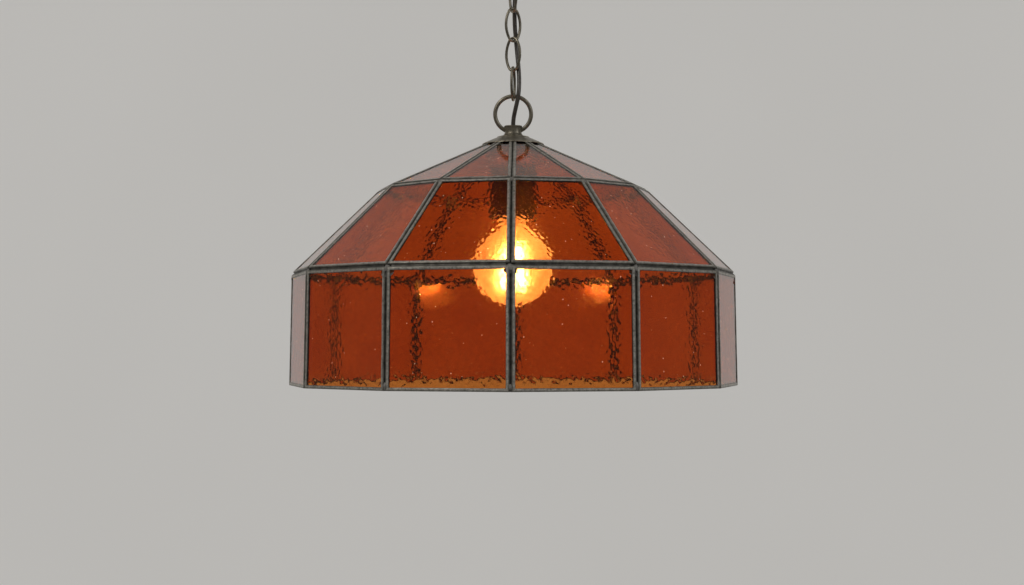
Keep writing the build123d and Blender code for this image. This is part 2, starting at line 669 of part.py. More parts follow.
flat_r = CANOPY_R - CANOPY_RIM
dish_a, dish_b, dish_c, dish_d = ((radius, -depth) for radius, depth in CANOPY_DISH)
inside_a, inside_b, inside_c, inside_d = (
    (radius - 0.7, -depth + CANOPY_T) for radius, depth in CANOPY_DISH
)
with BuildPart() as canopy:
    with BuildSketch(Plane.XZ):
        with BuildLine():
            Polyline((flat_r, -CANOPY_T), (flat_r, -TOUCH), (CANOPY_R, -TOUCH), (CANOPY_R, -CANOPY_LIP))
            ThreePointArc((CANOPY_R, -CANOPY_LIP), dish_a, dish_b)
            ThreePointArc(dish_b, dish_c, dish_d)
            Polyline(
                dish_d,
                (CANOPY_HOLE_R, -CANOPY_DEPTH),
                (CANOPY_HOLE_R, -CANOPY_DEPTH + CANOPY_T),
                inside_d,
            )
            ThreePointArc(inside_d, inside_c, inside_b)
            ThreePointArc(inside_b, inside_a, (flat_r, -CANOPY_T))
        make_face()
    revolve(axis=Axis.Z)
save(canopy, "canopy")

with BuildPart() as screw_collar:
    with BuildSketch(Plane.XY.offset(-CANOPY_DEPTH - TOUCH)):
        Circle(NUT_RING_R)
        with PolarLocations(NUT_RING_R + 0.4, GRIPS):
            Circle(GRIP_R, mode=Mode.SUBTRACT)
        Circle(COLLAR_R + 0.3, mode=Mode.SUBTRACT)
    extrude(amount=-NUT_RING_T)
save(screw_collar, "screw_collar")

# ---------------------------------------------------------------- cord
route = [Vector(point) for point in CORD_ROUTE]
runs = [(b - a).length for a, b in zip(route, route[1:])]
radii = []
for before, after, a, b, c in zip(runs, runs[1:], route, route[1:], route[2:]):
    half_turn = radians((b - a).get_angle(c - b)) / 2
    radii.append(0.45 * min(before, after) / tan(half_turn))
print("cord radii", [round(radius, 1) for radius in radii])

with BuildPart() as supply_cord:
    with BuildLine() as cord_line:
        FilletPolyline(*CORD_ROUTE, radius=radii)
    with BuildSketch(Plane(origin=cord_line.line @ 0, z_dir=cord_line.line % 0)):
        Circle(CORD_R)
    sweep()
save(supply_cord, "supply_cord")
cord_length = sum(edge.length for edge in cord_line.line.edges())
volume_ratio = supply_cord.part.volume / (cord_length * pi * CORD_R**2)
print("cord length", round(cord_length, 1), "volume ratio", round(volume_ratio, 4))

# straight lengths that the fittings hold: up to the ceiling box and down to the socket's terminals
for name, bottom, top in (
    ("ceiling_cord", CORD_ROUTE[0][2], -NIPPLE_TOP),
    ("lamp_cord", cord_end_z, CORD_ROUTE[-1][2]),
):
    with BuildPart() as held_cord:
        with BuildSketch(Plane.XY.offset(bottom)):
            Circle(CORD_R)
        extrude(amount=top - bottom)
    save(held_cord, name)

print("pivots", [round(z, 2) for z in pivot_z], "rim", round(rim_z, 2), "ring", round(ring_z, 2))
print("insets", SIDE_INSET, round(waist_inset, 2), round(brow_inset, 2))
print("crown flat slope", round(degrees(atan(crown_flat_slope)), 2))
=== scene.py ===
"""Looks of the leaded-glass pendant light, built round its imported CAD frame. Sizes are metres."""

import json
import math

import bpy
import numpy as np
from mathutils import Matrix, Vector


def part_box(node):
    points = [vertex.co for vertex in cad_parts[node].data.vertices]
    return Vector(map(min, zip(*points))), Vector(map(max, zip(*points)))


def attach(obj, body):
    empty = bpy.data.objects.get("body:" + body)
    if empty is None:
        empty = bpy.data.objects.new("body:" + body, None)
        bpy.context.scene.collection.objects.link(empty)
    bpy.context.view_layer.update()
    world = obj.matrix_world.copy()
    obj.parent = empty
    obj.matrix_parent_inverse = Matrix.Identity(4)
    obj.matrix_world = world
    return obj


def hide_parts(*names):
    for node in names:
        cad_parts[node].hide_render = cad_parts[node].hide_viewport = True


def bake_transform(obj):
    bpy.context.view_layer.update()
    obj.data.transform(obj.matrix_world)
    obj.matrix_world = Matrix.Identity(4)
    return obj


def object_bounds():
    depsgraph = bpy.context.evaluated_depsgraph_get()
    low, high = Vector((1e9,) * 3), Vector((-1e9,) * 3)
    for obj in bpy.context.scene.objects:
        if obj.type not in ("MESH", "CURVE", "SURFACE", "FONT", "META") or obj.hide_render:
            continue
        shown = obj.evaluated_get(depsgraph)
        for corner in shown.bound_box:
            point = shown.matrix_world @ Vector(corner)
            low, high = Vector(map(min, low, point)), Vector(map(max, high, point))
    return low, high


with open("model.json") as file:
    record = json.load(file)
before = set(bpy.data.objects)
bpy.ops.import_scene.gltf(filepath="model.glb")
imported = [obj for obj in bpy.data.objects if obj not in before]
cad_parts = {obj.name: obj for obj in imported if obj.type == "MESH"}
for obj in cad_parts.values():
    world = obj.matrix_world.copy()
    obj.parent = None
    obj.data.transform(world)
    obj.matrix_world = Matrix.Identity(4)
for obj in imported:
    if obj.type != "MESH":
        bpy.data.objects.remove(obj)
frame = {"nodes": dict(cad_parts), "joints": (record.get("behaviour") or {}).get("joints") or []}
cad_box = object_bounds()

MM = 0.001
TAU = 2 * math.pi
SIDES = 12
HALF_FACET = math.pi / SIDES

# sizes that the CAD part is made with
CAME_OUTSIDE = 1.0 * MM  # came outside the edge of its pane
LINK_WIRE, LINK_WIDTH, LINK_END_R = 2.8 * MM, 20.5 * MM, 6.0 * MM
LINK_STEPS = 14  # points on a quarter of each arc of a link
RING_R, RING_WIRE = 18.4 * MM, 4.2 * MM
EYE_R = 10.9 * MM
CORD_D = 4.4 * MM
CORD_AROUND = 24
CORD_ROUTE = (
    (0.0, 0.0, -0.036),
    (0.0, 0.0, -0.045),
    (0.0026, 0.0070, -0.0565),
    (0.0042, 0.0102, -0.0710),
    (0.0024, 0.0092, -0.0910),
    (0.0013, 0.0082, -0.1120),
    (0.0015, 0.0081, -0.1310),
    (0.0030, 0.0070, -0.1490),
    (0.0046, 0.0043, -0.1660),
    (0.0060, 0.0003, -0.1815),
    (0.0063, -0.0042, -0.1950),
    (0.0053, -0.0060, -0.2075),
    (0.0022, -0.0040, -0.2205),
    (0.0, 0.0, -0.2305),
    (0.0, 0.0, -0.2390),
)

joints = {joint["name"]: joint for joint in frame["joints"]}
swings = [joints[f"link_{n}_swing"] for n in range(1, 6)] + [joints["lamp_swing"]]
pivots = [joint["pos_m"][2] for joint in swings]
axis_turns = [math.atan2(joint["axis"][1], joint["axis"][0]) for joint in swings]


# ---------------------------------------------------------------- camera, stage and light
def add_camera():
    data = bpy.data.cameras.new("camera")
    data.lens = 58.1
    data.sensor_width = 36
    data.clip_end = 60
    camera = bpy.data.objects.new("camera", data)
    bpy.context.scene.collection.objects.link(camera)
    distance, height, round_axis, tilt, yaw = 1.6863, -0.4566, 0.584, 1.686, 0.039
    turn = math.radians(round_axis)
    camera.location = (distance * math.sin(turn), -distance * math.cos(turn), height)
    camera.rotation_euler = (math.radians(90 + tilt), 0, math.radians(round_axis + yaw))
    bpy.context.scene.camera = camera


def add_light(name, kind, energy, colour, size, location, target=(0, 0, -0.3)):
    data = bpy.data.lights.new(name, kind)
    data.energy = energy
    data.color = colour
    if kind == "AREA":
        data.shape = "DISK"
        data.size = size
    else:
        data.shadow_soft_size = size
    light = bpy.data.objects.new(name, data)
    bpy.context.scene.collection.objects.link(light)
    light.location = location
    aim = Vector(target) - Vector(location)
    light.rotation_euler = aim.to_track_quat("-Z", "Y").to_euler()
    return light


WORLD_STRENGTH = 0.55
ROOM_DIM, ROOM_BRIGHT = 0.15, 0.62  # the reflected room, before the lamp and behind it
ROOM_BAND = [(0.0, 0.74), (0.30, 0.74), (0.52, 1.0), (0.70, 0.50), (1.0, 0.36)]  # floor to ceiling


def add_world():
    """Even pale light, with a dimmer room for what the glass and metal reflect."""
    world = bpy.data.worlds.new("studio")
    bpy.context.scene.world = world
    world.use_nodes = True
    nodes, links = world.node_tree.nodes, world.node_tree.links
    nodes.clear()
    coord = nodes.new("ShaderNodeTexCoord")
    split = nodes.new("ShaderNodeSeparateXYZ")
    links.new(coord.outputs["Generated"], split.inputs[0])
    behind = nodes.new("ShaderNodeMapRange")
    behind.interpolation_type = "SMOOTHSTEP"
    behind.inputs["From Min"].default_value = 0.14
    behind.inputs["From Max"].default_value = 0.75
    behind.inputs["To Min"].default_value = ROOM_DIM
    behind.inputs["To Max"].default_value = ROOM_BRIGHT
    links.new(split.outputs["Y"], behind.inputs["Value"])
    overhead = ramp_node(nodes, links, split.outputs["Z"], ROOM_BAND)
    both = nodes.new("ShaderNodeMath")
    both.operation = "MULTIPLY"
    links.new(behind.outputs[0], both.inputs[0])
    links.new(overhead, both.inputs[1])
    room = nodes.new("ShaderNodeBackground")
    room.inputs["Color"].default_value = (1.0, 0.97, 0.93, 1)
    links.new(both.outputs[0], room.inputs["Strength"])
    soft = nodes.new("ShaderNodeBackground")
    soft.inputs["Color"].default_value = (1.0, 0.985, 0.96, 1)
    soft.inputs["Strength"].default_value = WORLD_STRENGTH
    ray = nodes.new("ShaderNodeLightPath")
    mix = nodes.new("ShaderNodeMixShader")
    out = nodes.new("ShaderNodeOutputWorld")
    links.new(ray.outputs["Is Glossy Ray"], mix.inputs["Fac"])
    links.new(soft.outputs[0], mix.inputs[1])
    links.new(room.outputs[0], mix.inputs[2])
    links.new(mix.outputs[0], out.inputs["Surface"])


def add_stage():
    """Plain pale floor well below the lamp, swept up into a round wall that blocks no view."""
    floor_z, wall_r, sweep_r, wall_top = -2.8, 5.2, 1.8, 9.0
    profile = [(0.001, floor_z), (1.5, floor_z), (wall_r - sweep_r, floor_z)]
    for step in range(1, 13):
        angle = math.pi / 2 * step / 12
        reach, rise = sweep_r * math.sin(angle), sweep_r * (1 - math.cos(angle))
        profile.append((wall_r - sweep_r + reach, floor_z + rise))
    profile.append((wall_r, wall_top))
    bowl = lathe("studio_floor", profile, 96, closed=False)
    paint(bowl, plaster())
    bowl.visible_diffuse = False
    bowl.visible_glossy = False
    bowl.visible_shadow = False


# ---------------------------------------------------------------- mesh helpers
def new_object(name, points, faces):
    mesh = bpy.data.meshes.new(name)
    mesh.from_pydata([tuple(p) for p in points], [], faces)
    mesh.validate()
    for face in mesh.polygons:
        face.use_smooth = True
    obj = bpy.data.objects.new(name, mesh)
    bpy.context.scene.collection.objects.link(obj)
    return obj


def set_attribute(obj, name, values):
    layer = obj.data.attributes.new(name, "FLOAT", "POINT")
    layer.data.foreach_set("value", np.asarray(values, np.float32))


def set_wear(obj, worn, plain, is_worn):
    """Wear of a piece, by whether is_worn holds at a point's distance from the axis and height."""
    values = [
        worn if is_worn(math.hypot(v.co.x, v.co.y), v.co.z) else plain for v in obj.data.vertices
    ]
    set_attribute(obj, "wear", values)


def paint(obj, *materials):
    obj.data.materials.clear()
    for material in materials:
        obj.data.materials.append(material)


def place(obj, body, slot, *nodes):
    """Put a finished piece on its body and hide the CAD nodes that it stands for; its finish, slot,
    is not used.
    """
    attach(obj, body)
    if nodes:
        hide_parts(*nodes)


def rounded(points, radius, steps=4):
    """Polyline corners (r, z) turned into small arcs; the two ends stay."""
    out = [np.array(points[0], float)]
    for before, corner, after in zip(points, points[1:], points[2:]):
        a, b, c = (np.array(p, float) for p in (before, corner, after))
        cut = min(radius, 0.45 * np.linalg.norm(b - a), 0.45 * np.linalg.norm(c - b))
        start = b + (a - b) / np.linalg.norm(a - b) * cut
        end = b + (c - b) / np.linalg.norm(c - b) * cut
        for step in range(steps + 1):
            t = step / steps
            out.append((1 - t) ** 2 * start + 2 * t * (1 - t) * b + t**2 * end)
    out.append(np.array(points[-1], float))
    return out


def lathe_data(profile, segments, closed=True, wobble=None):
    """Points and faces of a profile (r, z) turned round Z; a closed profile makes a ring."""
    rows = len(profile)
    points = []
    for step in range(segments):
        angle = TAU * step / segments
        for index, (r, z) in enumerate(profile):
            grown = r + (wobble(angle, z, index) if wobble else 0.0)
            points.append((grown * math.cos(angle), grown * math.sin(angle), z))
    faces = []
    for step in range(segments):
        here, there = step * rows, (step + 1) % segments * rows
        for index in range(rows if closed else rows - 1):
            after = (index + 1) % rows
            faces.append((here + index, there + index, there + after, here + after))
    return points, faces


def lathe(name, profile, segments, closed=True, wobble=None):
    return new_object(name, *lathe_data(profile, segments, closed, wobble))


def joined(name, parts):
    """One mesh object from several (points, faces) pairs."""
    points, faces = [], []
    for part_points, part_faces in parts:
        base = len(points)
        points.extend(tuple(p) for p in part_points)
        faces.extend(tuple(base + i for i in face) for face in part_faces)
    return new_object(name, points, faces)


def frames_along(line, closed):
    """Two unit vectors square to a line at each of its points, turning as little as they can."""
    count = len(line)
    ahead = np.roll(line, -1, axis=0) - np.roll(line, 1, axis=0)
    if not closed:
        ahead[0], ahead[-1] = line[1] - line[0], line[-1] - line[-2]
    ahead /= np.linalg.norm(ahead, axis=1)[:, None]
    side = np.zeros((count, 3))
    guess = np.array((0.0, 1.0, 0.0)) if abs(ahead[0][1]) < 0.8 else np.array((1.0, 0.0, 0.0))
    side[0] = np.cross(ahead[0], guess)
    side[0] /= np.linalg.norm(side[0])
    for i in range(1, count):
        side[i] = side[i - 1] - ahead[i] * (side[i - 1] @ ahead[i])
        side[i] /= np.linalg.norm(side[i])
    return side, np.cross(ahead, side)


def tube_faces(count, around, closed):
    """Faces of a tube whose points are count rings of around points each."""
    faces = []
    for i in range(count if closed else count - 1):
        here, there = i * around, (i + 1) % count * around
        for k in range(around):
            after = (k + 1) % around
            faces.append((here + k, here + after, there + after, there + k))
    if not closed:
        faces.append(tuple(range(around))[::-1])
        faces.append(tuple((count - 1) * around + k for k in range(around)))
    return faces


def tube_data(line, radius, around=20, closed=False, shape=None):
    """Points and faces of a round tube along a line; shape(i, angle) scales the radius."""
    line = np.asarray(line, float)
    side, up = frames_along(line, closed)
    count = len(line)
    points = []
    for i in range(count):
        for k in range(around):
            angle = TAU * k / around
            r = radius * (shape(i, angle) if shape else 1.0)
            points.append(line[i] + r * (math.cos(angle) * side[i] + math.sin(angle) * up[i]))
    return points, tube_faces(count, around, closed)


def waves(rng, count, short, long, stretch=1.0):
    """A random smooth surface: many plane waves of mixed length, direction and phase."""
    length = rng.uniform(short, long, count)
    angle = rng.uniform(0, TAU, count)
    phase = rng.uniform(0, TAU, count)
    kx = TAU / length * np.cos(angle)
    ky = TAU / length * np.sin(angle) / stretch

    def height(x, y):
        total = np.zeros(np.shape(x))
        for i in range(count):
            total += np.sin(kx[i] * x + ky[i] * y + phase[i])
        return total / math.sqrt(count / 2)

    return height


# ---------------------------------------------------------------- material helpers
def material(name):
    """A new material with its Principled shader, as (material, nodes, links, shader)."""
    mat = bpy.data.materials.new(name)
    mat.use_nodes = True
    nodes, links = mat.node_tree.nodes, mat.node_tree.links
    shader = nodes["Principled BSDF"]
    return mat, nodes, links, shader


def noise_node(nodes, links, scale, detail=4.0, rough=0.55):
    coord = nodes.new("ShaderNodeTexCoord")
    node = nodes.new("ShaderNodeTexNoise")
    node.inputs["Scale"].default_value = scale
    node.inputs["Detail"].default_value = detail
    node.inputs["Roughness"].default_value = rough
    links.new(coord.outputs["Object"], node.inputs["Vector"])
    return node.outputs[0]


def ramp_node(nodes, links, source, stops):
    ramp = nodes.new("ShaderNodeValToRGB")
    elements = ramp.color_ramp.elements
    while len(elements) < len(stops):
        elements.new(0.5)
    for element, (position, colour) in zip(elements, stops):
        element.position = position
        element.color = (*colour, 1) if hasattr(colour, "__len__") else (colour, colour, colour, 1)
    links.new(source, ramp.inputs["Fac"])
    return ramp.outputs["Color"]


def mix_colour(nodes, links, factor, first, second, blend="MIX"):
    mix = nodes.new("ShaderNodeMix")
    mix.data_type = "RGBA"
    mix.blend_type = blend
    for socket, value in (("Factor", factor), ("A", first), ("B", second)):
        kind = "VALUE" if socket == "Factor" else "RGBA"
        target = next(s for s in mix.inputs if s.name == socket and s.type == kind)
        if isinstance(value, bpy.types.NodeSocket):
            links.new(value, target)
        elif socket == "Factor":
            target.default_value = value
        else:
            target.default_value = (*value, 1)
    return next(s for s in mix.outputs if s.type == "RGBA")


def toned(name, dark, light, *noise):
    """A new material whose colour goes between two tones, as material() with its noise added."""
    mat, nodes, links, shader = material(name)
    tone = noise_node(nodes, links, *noise)
    colour = ramp_node(nodes, links, tone, [(0.3, dark), (0.7, light)])
    links.new(colour, shader.inputs["Base Color"])
    return mat, nodes, links, shader, tone


def set_inputs(shader, values):
    for name, value in values.items():
        shader.inputs[name].default_value = value


def add_bump(nodes, links, shader, height, strength, distance):
    bump = nodes.new("ShaderNodeBump")
    bump.inputs["Strength"].default_value = strength
    bump.inputs["Distance"].default_value = distance
    links.new(height, bump.inputs["Height"])
    links.new(bump.outputs[0], shader.inputs["Normal"])


def attribute_node(nodes, name):
    node = nodes.new("ShaderNodeAttribute")
    node.attribute_name = name
    return node


# near-black painted shade, laid on the inner faces of the cames
INNER_SHADE_BLACK = (0.012, 0.010, 0.008)


def aged_metal(name, dark, light, rough, metallic, bright=None, soot=False):
    """Patinated metal: mottled, lightened where a piece's wear is (on the cames' crowns, wear and a
    painted highlight), and near-black where its painted shade is.
    """
    mat, nodes, links, shader = material(name)
    shader.inputs["Metallic"].default_value = metallic
    broad = noise_node(nodes, links, 140, 5, 0.6)
    colour = ramp_node(nodes, links, broad, [(0.32, dark), (0.68, light)])
    fine = noise_node(nodes, links, 900, 4, 0.7)
    specks = ramp_node(nodes, links, fine, [(0.35, 0.58), (0.65, 1.0)])
    colour = mix_colour(nodes, links, 0.8, colour, specks, "MULTIPLY")
    # lightened where the wear attribute is: rubbed wear, and on the cames' crowns also a painted
    # highlight
    if bright:
        rubbed_and_highlight = attribute_node(nodes, "wear")
        scratch = noise_node(nodes, links, 420, 5, 0.75)
        patch = ramp_node(nodes, links, scratch, [(0.36, 0.15), (0.62, 1.0)])
        amount = mix_colour(nodes, links, 1.0, rubbed_and_highlight.outputs["Color"], patch, "MULTIPLY")
        colour = mix_colour(nodes, links, amount, colour, bright)
    # painted shade: near-black wherever the painted shade attribute is set
    if soot:
        black = attribute_node(nodes, "soot")
        colour = mix_colour(nodes, links, black.outputs["Fac"], colour, INNER_SHADE_BLACK)
    links.new(colour, shader.inputs["Base Color"])
    shine = ramp_node(nodes, links, broad, [(0.3, rough[1]), (0.7, rough[0])])
    links.new(shine, shader.inputs["Roughness"])
    add_bump(nodes, links, shader, fine, 0.35, 0.00012)
    return mat


# ---------------------------------------------------------------- materials
def plaster():
    dark, light = (0.80, 0.795, 0.78), (0.83, 0.825, 0.81)
    mat, _, _, shader, _ = toned("pale_plaster", dark, light, 0.5, 3, 0.5)
    set_inputs(shader, {"Roughness": 0.9, "Specular IOR Level": 0.0})
    return mat


HAZE = 0.34  # roughness of the haziest specks of the glass
GRAIN = 0.034 * MM  # depth of the ripple too fine for the mesh


def amber_glass():
    """Amber cathedral glass; its shadow is amber light, as a coloured pane's is."""
    mat, nodes, links, shader = material("amber_glass")
    tone = noise_node(nodes, links, 22, 2, 0.5)
    deep, pale = (
        ramp_node(nodes, links, tone, [(0.3, thick), (0.7, thin)])
        for thick, thin in (
            ((0.67, 0.190, 0.027), (0.74, 0.228, 0.037)),
            ((0.78, 0.245, 0.040), (0.84, 0.290, 0.052)),
        )
    )
    sheet = attribute_node(nodes, "sheet")
    colour = mix_colour(nodes, links, sheet.outputs["Fac"], deep, pale)
    patches = noise_node(nodes, links, 240, 3, 0.6)
    mottle = ramp_node(nodes, links, patches, [(0.34, 0.88), (0.66, 1.0)])
    colour = mix_colour(nodes, links, 1.0, colour, mottle, "MULTIPLY")
    links.new(colour, shader.inputs["Base Color"])
    set_inputs(shader, {"Transmission Weight": 1.0, "IOR": 1.5})
    haze = noise_node(nodes, links, 420, 3, 0.6)
    shine = ramp_node(nodes, links, haze, [(0.52, 0.02), (0.81, HAZE)])
    links.new(shine, shader.inputs["Roughness"])
    ripple = noise_node(nodes, links, 400, 3, 0.6)
    add_bump(nodes, links, shader, ripple, 0.5, GRAIN)
    clear = nodes.new("ShaderNodeBsdfTransparent")
    clear.inputs["Color"].default_value = (0.70, 0.195, 0.024, 1)
    let_light_through(nodes, links, shader, clear)
    return mat


def let_light_through(nodes, links, shader, clear):
    """Shadow rays pass through a glass, tinted by its clear shader."""
    ray = nodes.new("ShaderNodeLightPath")
    mix = nodes.new("ShaderNodeMixShader")
    links.new(ray.outputs["Is Shadow Ray"], mix.inputs["Fac"])
    links.new(shader.outputs[0], mix.inputs[1])
    links.new(clear.outputs[0], mix.inputs[2])
    links.new(mix.outputs[0], nodes["Material Output"].inputs["Surface"])


# painted glint: the seeds are a bright peach and glow faintly, standing in for light caught in the
# bubbles
def glinting_seed_glass():
    mat, _, _, shader, _ = toned("glass_seed", (0.75, 0.42, 0.22), (0.9, 0.6, 0.4), 300, 1)
    glow = {"Emission Color": (0.9, 0.5, 0.28, 1), "Emission Strength": 0.35}
    set_inputs(shader, {"Roughness": 0.15, **glow})
    return mat


GLOBE_GLOW, ROD_GLOW, BULB_POWER = 0.13, 215.0, 2.4


def frosted_globe():
    dark, light = (0.97, 0.95, 0.92), (1.0, 0.98, 0.96)
    mat, nodes, links, shader, _ = toned("bulb_globe", dark, light, 60, 2)
    glow = {"Emission Color": (1.0, 0.80, 0.58, 1), "Emission Strength": GLOBE_GLOW}
    set_inputs(shader, {"Transmission Weight": 1.0, "Roughness": 0.34, "IOR": 1.45, **glow})
    clear = nodes.new("ShaderNodeBsdfTransparent")
    let_light_through(nodes, links, shader, clear)
    return mat


def glowing_rod():
    mat, _, _, shader, _ = toned("filament_glow", (1.0, 0.72, 0.38), (1.0, 0.82, 0.52), 500, 2)
    glow = {"Emission Color": (1.0, 0.95, 0.88, 1), "Emission Strength": ROD_GLOW}
    set_inputs(shader, {"Roughness": 0.5, **glow})
    return mat


def mottled(name, dark, light, rough, metallic, scale, bump, coat=0.0, transmission=0.0):
    """One mottled material, for the CAD nodes that keep their own shape."""
    mat, nodes, links, shader, tone = toned(name, dark, light, scale, 5, 0.6)
    weights = {"Coat Weight": coat, "Transmission Weight": transmission}
    set_inputs(shader, {"Metallic": metallic, **weights})
    shine = ramp_node(nodes, links, tone, [(0.3, rough * 1.2), (0.7, rough * 0.85)])
    links.new(shine, shader.inputs["Roughness"])
    add_bump(nodes, links, shader, noise_node(nodes, links, scale * 5, 3), bump, 0.0002)
    return mat


def cord_jacket():
    dark, light = (0.026, 0.021, 0.016), (0.052, 0.043, 0.034)
    mat, nodes, links, shader, _ = toned("cord_jacket", dark, light, 260, 4, 0.6)
    set_inputs(shader, {"Roughness": 0.30, "Specular IOR Level": 0.6})
    add_bump(nodes, links, shader, noise_node(nodes, links, 1500, 3), 0.2, 0.0001)
    return mat


# ---------------------------------------------------------------- shade
def node_points(name):
    mesh = frame["nodes"][name].data
    points = np.zeros(len(mesh.vertices) * 3, np.float32)
    mesh.vertices.foreach_get("co", points)
    return points.reshape(-1, 3).astype(float)


class Facet:
    """A pane's place, read from its CAD corners: centre, three directions and trapezoid."""

    def __init__(self, points, index):
        angle = -math.pi / 2 + HALF_FACET + index * 2 * HALF_FACET
        self.out = np.array((math.cos(angle), math.sin(angle), 0))
        self.along = np.array((-math.sin(angle), math.cos(angle), 0))
        self.centre = points.mean(axis=0)
        middle = (points[:, 2].min() + points[:, 2].max()) / 2
        high, low = points[points[:, 2] > middle], points[points[:, 2] <= middle]
        up = high.mean(axis=0) - low.mean(axis=0)
        up -= self.along * (up @ self.along)
        self.up = up / np.linalg.norm(up)
        self.normal = np.cross(self.along, self.up)
        local = points - self.centre
        height, depth = local @ self.up, local @ self.normal
        self.low, self.high = height.min(), height.max()
        self.thick = depth.max() - depth.min()
        self.low_half = np.abs((low - self.centre) @ self.along).max()
        self.high_half = np.abs((high - self.centre) @ self.along).max()

    def at(self, x, y, depth):
        return (
            self.centre
            + np.multiply.outer(x, self.along)
            + np.multiply.outer(y, self.up)
            + np.multiply.outer(depth, self.normal)
        )


def read_facets():
    """The thirty-six panes: skirt and shoulder from their own nodes, the crown split by angle."""
    facets = {"skirt": [], "shoulder": [], "crown": []}
    for tier in ("skirt", "shoulder"):
        for index in range(SIDES):
            points = node_points(f"{tier}_glass_{index + 1:02d}")
            facets[tier].append(Facet(points, index))
    crown = node_points("crown_glass")
    turn = (np.arctan2(crown[:, 1], crown[:, 0]) + math.pi / 2) % TAU
    which = np.floor(turn / (2 * HALF_FACET)).astype(int) % SIDES
    for index in range(SIDES):
        facets["crown"].append(Facet(crown[which == index], index))
    return facets


GRID = 1.25 * MM  # between the points of a pane
HAMMER = 0.026 * MM  # depth of the hammering on the rougher face
ROLLED = 0.012 * MM  # and on the smoother one


PALE_SHEETS, DEEP_SHEETS = (0.55, 0.85), (0.05, 0.35)


def pane_data(facet, rng):
    """Closed hammered slab of glass that fills a pane's place."""
    rough = waves(rng, 48, 2.8 * MM, 6.0 * MM, stretch=1.5)
    dimple = waves(rng, 30, 5.0 * MM, 11.0 * MM)
    smooth = waves(rng, 20, 9.0 * MM, 26.0 * MM)
    across = int(2 * max(facet.low_half, facet.high_half) / GRID)
    rise = int((facet.high - facet.low) / GRID)
    share = np.linspace(-1, 1, across + 1)
    y = np.linspace(facet.low, facet.high, rise + 1)
    half = np.interp(y, (facet.low, facet.high), (facet.low_half, facet.high_half))
    x_grid = half[:, None] * share[None, :]
    y_grid = np.repeat(y[:, None], across + 1, axis=1)
    outer = facet.thick / 2 - ROLLED * (2.2 + smooth(x_grid, y_grid))
    pattern = rough(x_grid, y_grid) - 0.9 * np.abs(dimple(x_grid, y_grid))
    inner = -facet.thick / 2 + HAMMER * (3.6 + pattern)
    points = np.concatenate(
        [
            facet.at(x_grid.ravel(), y_grid.ravel(), outer.ravel()),
            facet.at(x_grid.ravel(), y_grid.ravel(), inner.ravel()),
        ]
    )
    wide = across + 1
    size = wide * (rise + 1)
    cell = (np.arange(rise)[:, None] * wide + np.arange(across)[None, :]).ravel()
    top = np.stack([cell, cell + 1, cell + wide + 1, cell + wide], axis=1)
    bottom = top[:, ::-1] + size
    edge = np.concatenate(
        [
            np.arange(wide),
            wide * np.arange(1, rise + 1) + across,
            (wide * rise + np.arange(across))[::-1],
            (wide * np.arange(1, rise))[::-1],
        ]
    )
    after = np.roll(edge, -1)
    rim = np.stack([edge, edge + size, after + size, after], axis=1)
    faces = np.concatenate([top, bottom, rim])
    return points, faces


def seed_data(facet, rng):
    """A few tiny bubbles that break the outer face of a pane."""
    parts = []
    for _ in range(rng.integers(6, 13)):
        y = rng.uniform(facet.low * 0.85, facet.high * 0.85)
        half = np.interp(y, (facet.low, facet.high), (facet.low_half, facet.high_half))
        x = rng.uniform(-0.88, 0.88) * half
        size = rng.uniform(0.22, 0.48) * MM
        centre = facet.at(x, y, facet.thick / 2 - 0.25 * size)
        points, faces, rings, around = [], [], 5, 8
        for ring in range(rings + 1):
            lift = math.pi * ring / rings
            for k in range(around):
                angle = TAU * k / around
                points.append(
                    centre
                    + facet.along * size * math.sin(lift) * math.cos(angle)
                    + facet.up * 1.3 * size * math.sin(lift) * math.sin(angle)
                    + facet.normal * 0.5 * size * math.cos(lift)
                )
        for ring in range(rings):
            for k in range(around):
                a, b = ring * around + k, ring * around + (k + 1) % around
                faces.append((a, a + around, b + around, b))
        parts.append((points, faces))
    return parts


def glass_piece(name, facets, rng, glass, glinting_seed):
    """The panes of some facets, with their seeds, as one piece from a paler or a deeper sheet."""
    slabs = [pane_data(facet, rng) for facet in facets]
    seeds = [part for facet in facets for part in seed_data(facet, rng)]
    points = np.concatenate([p for p, _ in slabs] + [np.array(p) for p, _ in seeds])
    faces, base, slab_faces = [], 0, 0
    for slab_points, slab_quads in slabs:
        faces.extend((slab_quads + base).tolist())
        base += len(slab_points)
        slab_faces += len(slab_quads)
    for seed_points, seed_quads in seeds:
        faces.extend([tuple(i + base for i in quad) for quad in seed_quads])
        base += len(seed_points)
    mesh = bpy.data.meshes.new(name)
    mesh.from_pydata(points.tolist(), [], faces)
    material_index = np.zeros(len(faces), np.int32)
    material_index[slab_faces:] = 1
    mesh.polygons.foreach_set("use_smooth", np.ones(len(faces), bool))
    obj = bpy.data.objects.new(name, mesh)
    bpy.context.scene.collection.objects.link(obj)
    paint(obj, glass, glinting_seed)
    mesh.polygons.foreach_set("material_index", material_index)
    mesh.update()
    paleness = rng.uniform(*(PALE_SHEETS if name.startswith("shoulder") else DEEP_SHEETS))
    set_attribute(obj, "sheet", np.full(len(mesh.vertices), paleness))
    return obj


def build_glass(facets):
    glass, glinting_seed = amber_glass(), glinting_seed_glass()
    rng = np.random.default_rng(7)
    for tier in ("skirt", "shoulder"):
        for index, facet in enumerate(facets[tier]):
            number = f"{index + 1:02d}"
            pane = glass_piece(f"{tier}_pane_{number}", [facet], rng, glass, glinting_seed)
            place(pane, "lamp", "amber_glass", f"{tier}_glass_{number}")
    crown = glass_piece("crown_panes", facets["crown"], rng, glass, glinting_seed)
    place(crown, "lamp", "amber_glass", "crown_glass")


